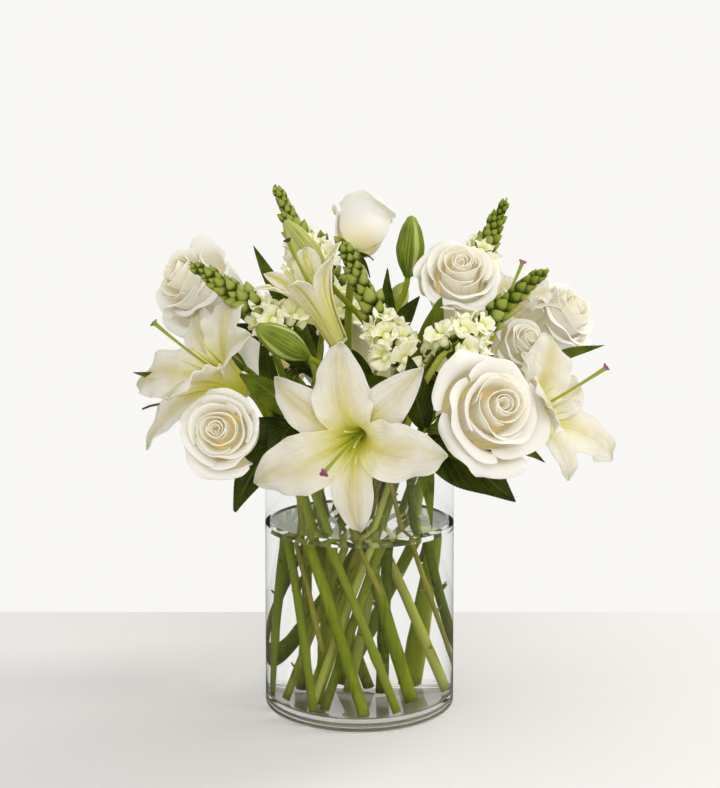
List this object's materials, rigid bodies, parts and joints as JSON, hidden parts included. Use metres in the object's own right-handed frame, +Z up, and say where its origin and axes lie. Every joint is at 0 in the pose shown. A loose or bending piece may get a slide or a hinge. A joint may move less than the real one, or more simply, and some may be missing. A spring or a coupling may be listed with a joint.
{
  "type": "bouquet of lilies, roses and snapdragons in a glass vase",
  "caption": "Mixed bouquet of white lilies, cream roses, snapdragon spikes and greens, cut and standing in water in a clear straight glass cylinder vase.",
  "frame": {"origin": "centre of the vase's flat foot, on the surface that it stands on", "axes": "+Z up, -Y towards the viewer of the bouquet's front, +X to the viewer's right"},
  "size_m": [0.3824, 0.2934, 0.4115],
  "materials": {
    "vase_glass": "gloss",
    "water": "gloss",
    "rose_petal": "matt",
    "rose_stem": "satin",
    "lily_petal": "satin",
    "lily_pistil": "satin",
    "lily_stem": "satin",
    "snapdragon_bud": "matt",
    "snapdragon_floret": "matt",
    "leaf": "satin"
  },
  "bodies": {
    "root": {"vase": "vase_glass", "water": "water", "leafy_stem_back_left": "leaf", "leafy_stem_back_right": "leaf", "leafy_stem_centre": "leaf", "leafy_stem_front_left": "leaf", "leafy_stem_front_right": "leaf", "leafy_stem_left": "leaf", "leafy_stem_right": "leaf", "lily_bloom_back": "lily_petal", "lily_bloom_front": "lily_petal", "lily_bloom_left": "lily_petal", "lily_bloom_right": "lily_petal", "lily_bloom_right_upper": "lily_petal", "lily_bloom_top": "lily_petal", "lily_pistil_back": "lily_pistil", "lily_pistil_front": "lily_pistil", "lily_pistil_left": "lily_pistil", "lily_pistil_right": "lily_pistil", "lily_pistil_right_upper": "lily_pistil", "lily_pistil_top": "lily_pistil", "lily_stem_back": "lily_stem", "lily_stem_front": "lily_stem", "lily_stem_left": "lily_stem", "lily_stem_right": "lily_stem", "rose_head_back_left": "rose_petal", "rose_head_back_right": "rose_petal", "rose_head_front_left": "rose_petal", "rose_head_front_right": "rose_petal", "rose_head_left": "rose_petal", "rose_head_right": "rose_petal", "rose_head_right_small": "rose_petal", "rose_head_top": "rose_petal", "rose_head_top_right": "rose_petal", "rose_stem_back_left": "rose_stem", "rose_stem_back_right": "rose_stem", "rose_stem_front_left": "rose_stem", "rose_stem_front_right": "rose_stem", "rose_stem_left": "rose_stem", "rose_stem_right": "rose_stem", "rose_stem_right_small": "rose_stem", "rose_stem_top": "rose_stem", "rose_stem_top_right": "rose_stem", "snapdragon_florets_back": "snapdragon_floret", "snapdragon_florets_left": "snapdragon_floret", "snapdragon_florets_middle": "snapdragon_floret", "snapdragon_florets_right": "snapdragon_floret", "snapdragon_florets_top_left": "snapdragon_floret", "snapdragon_florets_top_right": "snapdragon_floret", "snapdragon_spike_back": "snapdragon_bud", "snapdragon_spike_left": "snapdragon_bud", "snapdragon_spike_middle": "snapdragon_bud", "snapdragon_spike_right": "snapdragon_bud", "snapdragon_spike_top_left": "snapdragon_bud", "snapdragon_spike_top_right": "snapdragon_bud"}
  },
  "joints": []
}
